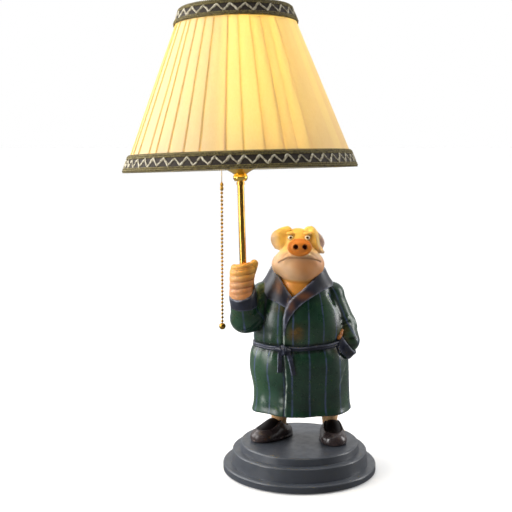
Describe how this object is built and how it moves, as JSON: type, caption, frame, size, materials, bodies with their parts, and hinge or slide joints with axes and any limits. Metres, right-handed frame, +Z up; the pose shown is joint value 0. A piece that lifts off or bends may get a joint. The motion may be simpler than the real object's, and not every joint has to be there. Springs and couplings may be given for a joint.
{
  "type": "figural table lamp",
  "caption": "Table lamp whose standing pig in a dressing gown holds a brass stem with a pull-cord lampholder and a pleated cone shade, on a stepped plinth.",
  "frame": {"origin": "centre of the plinth's underside, on the felt", "axes": "+Z up, the pig faces -Y, and the brass stem is on the -X side, in the pig's right hand"},
  "size_m": [0.2945, 0.2658, 0.5404],
  "materials": {
    "felt": "thin felt",
    "plinth_paint": "satin slate-grey paint on resin",
    "steel": "zinc plated",
    "iron": "raw casting",
    "black_rubber": "moulded",
    "terminal_plastic": "moulded",
    "lead_sheath": "smooth flexible sheath",
    "skin": "hand-painted resin, semi-matt",
    "eye_paint": "glossy painted resin",
    "slipper_paint": "glossy black painted resin",
    "robe_paint": "dark green painted resin, semi-gloss",
    "trim_paint": "dark navy painted resin, semi-gloss",
    "polished_brass": "polished",
    "porcelain": "white unglazed",
    "bulb_glass": "clear",
    "bulb_metal": "pressed sheet",
    "filament": "fine wire",
    "white_wire": "white coated",
    "lining": "styrene and cotton laminate",
    "pleated_cloth": "knife-pleated chiffon",
    "braid": "woven gimp braid",
    "pull_cord": "fine waxed cord"
  },
  "bodies": {
    "lamp": {"felt_pad": "felt", "bottom_cover": "steel", "cover_screws": "steel", "ballast_ring": "iron", "plinth": "plinth_paint", "cord_grommet": "black_rubber", "terminal_block": "terminal_plastic", "leg_nipple": "steel", "nipple_nuts": "steel", "leg_screw": "steel", "internal_lead": "lead_sheath", "slipper_right": "slipper_paint", "slipper_left": "slipper_paint", "leg_right": "skin", "leg_left": "skin", "robe_body": "robe_paint", "robe_collar": "trim_paint", "belt": "trim_paint", "belt_knot": "trim_paint", "belt_tails": "trim_paint", "sleeve_right": "robe_paint", "sleeve_left": "robe_paint", "cuff_right": "trim_paint", "cuff_left": "trim_paint", "fist_right": "skin", "hand_left": "skin", "neck": "skin", "head": "skin", "snout": "skin", "ear_right": "skin", "ear_left": "skin", "eyes": "eye_paint", "stem_tube": "polished_brass", "stem_collar": "polished_brass", "stem_knop": "polished_brass", "brass_cup": "polished_brass", "lampholder_cap": "polished_brass", "lampholder_shell": "polished_brass", "lampholder_core": "porcelain", "screw_sleeve": "bulb_metal", "centre_contact": "polished_brass", "chain_guide": "polished_brass"},
    "shade_ring": {"shade_ring": "polished_brass"},
    "bulb": {"bulb_cap": "bulb_metal", "bulb_glass": "bulb_glass", "bulb_filament": "filament"},
    "shade": {"shade_frame": "white_wire", "shade_carrier": "white_wire", "shade_lining": "lining", "shade_pleats": "pleated_cloth", "bottom_trim": "braid", "top_trim": "braid"},
    "pull_pin": {"pull_pin": "polished_brass"},
    "pull_cord": {"pull_cord": "pull_cord", "chain_coupling": "polished_brass"},
    "pull_chain": {"bead_chain": "polished_brass", "chain_ball": "polished_brass"}
  },
  "joints": [
    {"name": "shade_turn", "type": "hinge", "parent": "lamp", "child": "shade", "pos_m": [-0.07117, -0.02076, 0.39658], "axis": [-0.0286, 0.0317, 0.9991], "continuous": true},
    {"name": "shade_ring_turn", "type": "hinge", "parent": "lamp", "child": "shade_ring", "pos_m": [-0.07126, -0.02067, 0.39953], "axis": [-0.0286, 0.0317, 0.9991], "continuous": true},
    {"name": "bulb_turn", "type": "hinge", "parent": "lamp", "child": "bulb", "pos_m": [-0.07121, -0.02072, 0.39783], "axis": [-0.0286, 0.0317, 0.9991], "continuous": true},
    {"name": "pull_travel", "type": "slide", "parent": "lamp", "child": "pull_pin", "axis": [0, 0, -1], "range_m": [0, 0.005], "stiffness_N_per_m": 300, "springref_m": -0.002},
    {"name": "cord_swing", "type": "hinge", "parent": "pull_pin", "child": "pull_cord", "pos_m": [-0.0912, -0.0211, 0.3766], "axis": [0, 1, 0], "range_deg": [-1, 20]},
    {"name": "chain_swing", "type": "hinge", "parent": "pull_cord", "child": "pull_chain", "pos_m": [-0.0912, -0.0211, 0.3349], "axis": [1, 0, 0], "range_deg": [-20, 20]}
  ]
}
